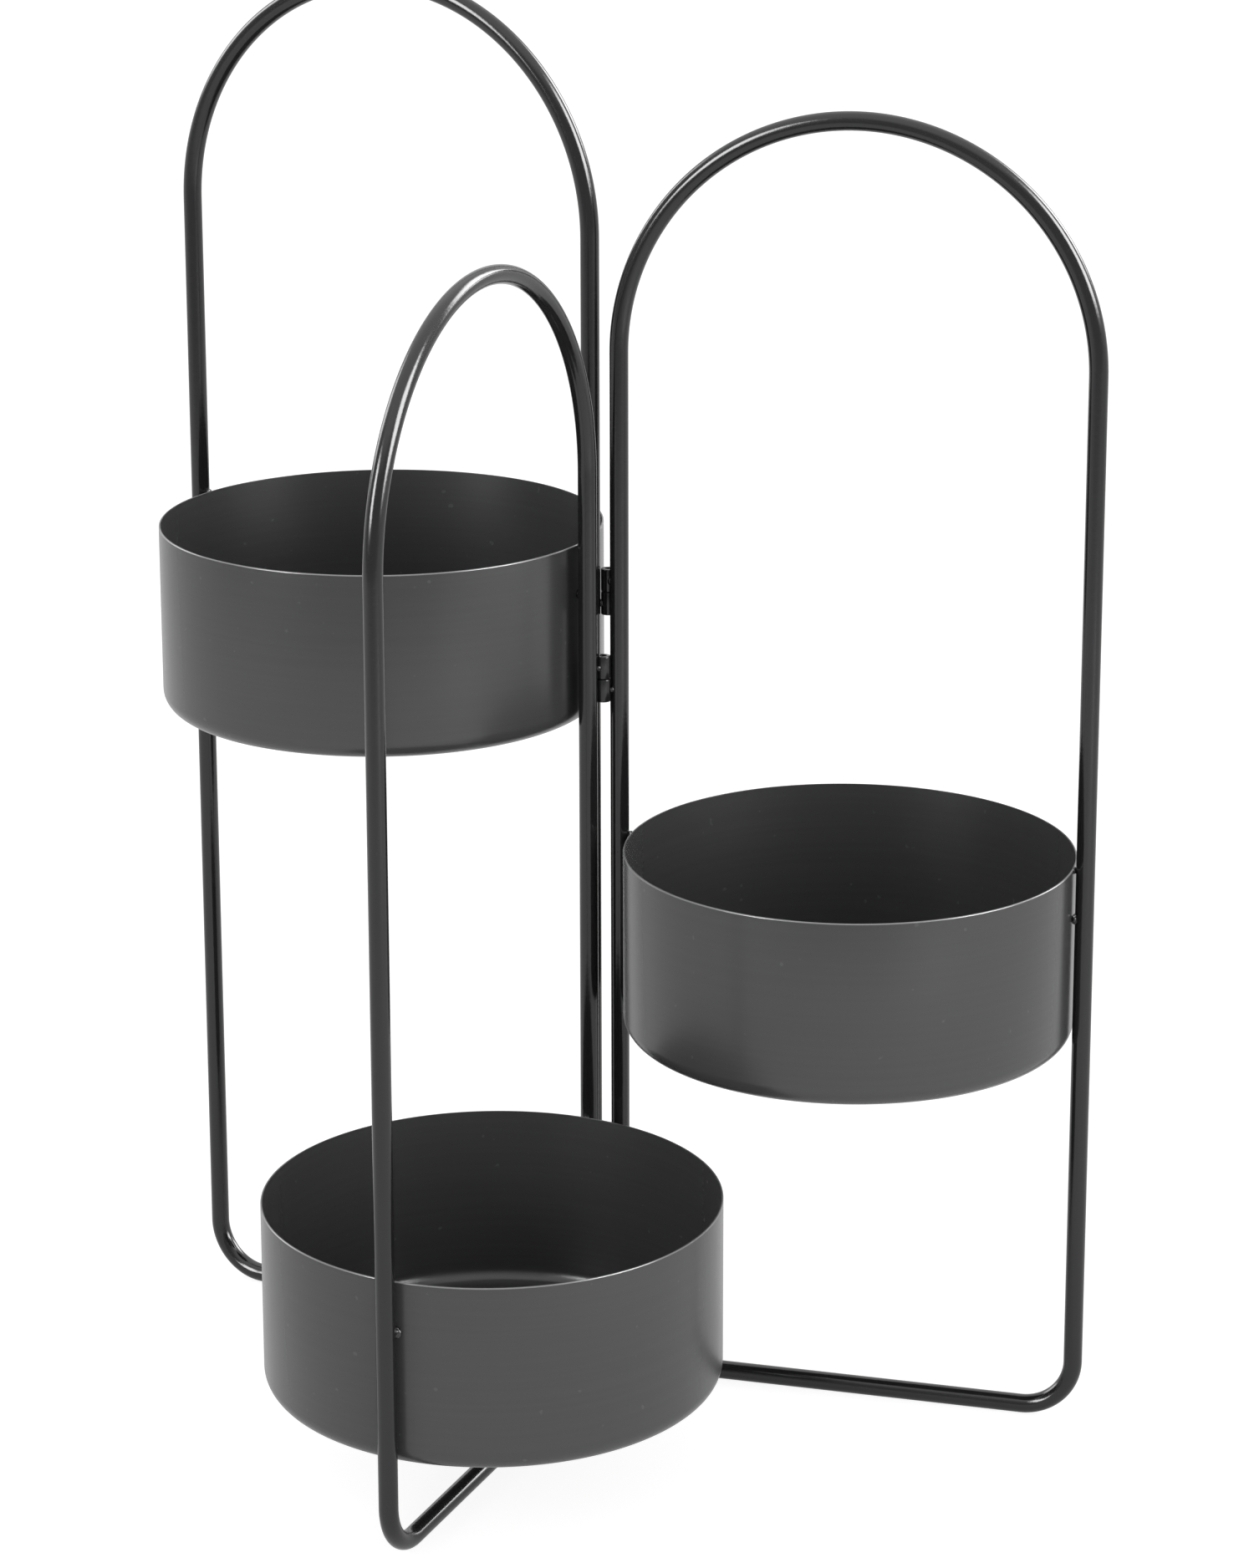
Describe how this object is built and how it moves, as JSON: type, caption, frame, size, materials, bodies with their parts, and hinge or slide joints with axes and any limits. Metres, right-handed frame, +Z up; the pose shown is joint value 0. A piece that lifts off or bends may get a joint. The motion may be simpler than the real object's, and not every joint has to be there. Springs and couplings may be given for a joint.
{
  "type": "tiered plant stand",
  "caption": "Folding metal plant stand: hinged, arch-topped tube panels, each holding a round flat-bottomed pot at its own height.",
  "frame": {"origin": "the middle of the open stand's plan, on the floor", "axes": "+Z up; +X along the middle panel, away from the hinge lines; the front panel stands out towards -Y"},
  "size_m": [0.5216, 0.4128, 0.7629],
  "materials": {
    "frame_coating": "satin black powder coat on steel tube",
    "pot_coating": "satin anthracite powder coat on steel sheet",
    "hinge_pin_steel": "steel pin, coated with the frame"
  },
  "bodies": {
    "middle_panel": {"middle_frame": "frame_coating", "middle_pot": "pot_coating", "middle_pot_welds": "frame_coating", "middle_knuckle_tall_upper": "frame_coating", "middle_knuckle_tall_lower": "frame_coating", "middle_knuckle_front_upper": "frame_coating", "middle_knuckle_front_lower": "frame_coating", "middle_knuckle_welds": "frame_coating", "front_hinge_pin_upper": "hinge_pin_steel", "front_hinge_pin_lower": "hinge_pin_steel"},
    "tall_panel": {"tall_frame": "frame_coating", "tall_pot": "pot_coating", "tall_pot_welds": "frame_coating", "tall_knuckle_upper": "frame_coating", "tall_knuckle_lower": "frame_coating", "tall_knuckle_welds": "frame_coating", "tall_hinge_pin_upper": "hinge_pin_steel", "tall_hinge_pin_lower": "hinge_pin_steel"},
    "front_panel": {"front_frame": "frame_coating", "front_pot": "pot_coating", "front_pot_welds": "frame_coating", "front_knuckle_upper": "frame_coating", "front_knuckle_lower": "frame_coating", "front_knuckle_welds": "frame_coating"}
  },
  "joints": [
    {"name": "tall_panel_hinge", "type": "hinge", "parent": "middle_panel", "child": "tall_panel", "pos_m": [-0.00371, 0.06583, 0.4425], "axis": [0, 0, 1], "range_deg": [-165, 15]},
    {"name": "front_panel_hinge", "type": "hinge", "parent": "middle_panel", "child": "front_panel", "pos_m": [-0.00371, 0.05483, 0.3975], "axis": [0, 0, 1], "range_deg": [-12, 98]}
  ]
}
